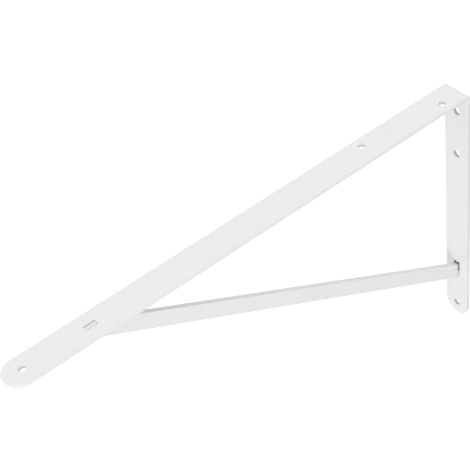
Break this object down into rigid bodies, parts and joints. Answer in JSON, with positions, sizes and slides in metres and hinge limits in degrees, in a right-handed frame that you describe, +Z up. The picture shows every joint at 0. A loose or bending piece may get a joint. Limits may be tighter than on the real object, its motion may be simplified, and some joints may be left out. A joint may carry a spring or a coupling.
{
  "type": "shelf bracket",
  "caption": "White wall bracket for a shelf: a flat steel bar folded into a long arm and a short leg, stiffened by a tenoned diagonal brace.",
  "frame": {"origin": "on the wall plane, in the middle of the leg's height and of the bar's width", "axes": "+X out from the wall along the arm, +Y across the bar, +Z up towards the shelf"},
  "size_m": [0.4, 0.025, 0.25],
  "materials": {
    "powder_coat": "satin white powder coat on steel"
  },
  "bodies": {
    "root": {"angle_bar": "powder_coat", "brace": "powder_coat"}
  },
  "joints": []
}
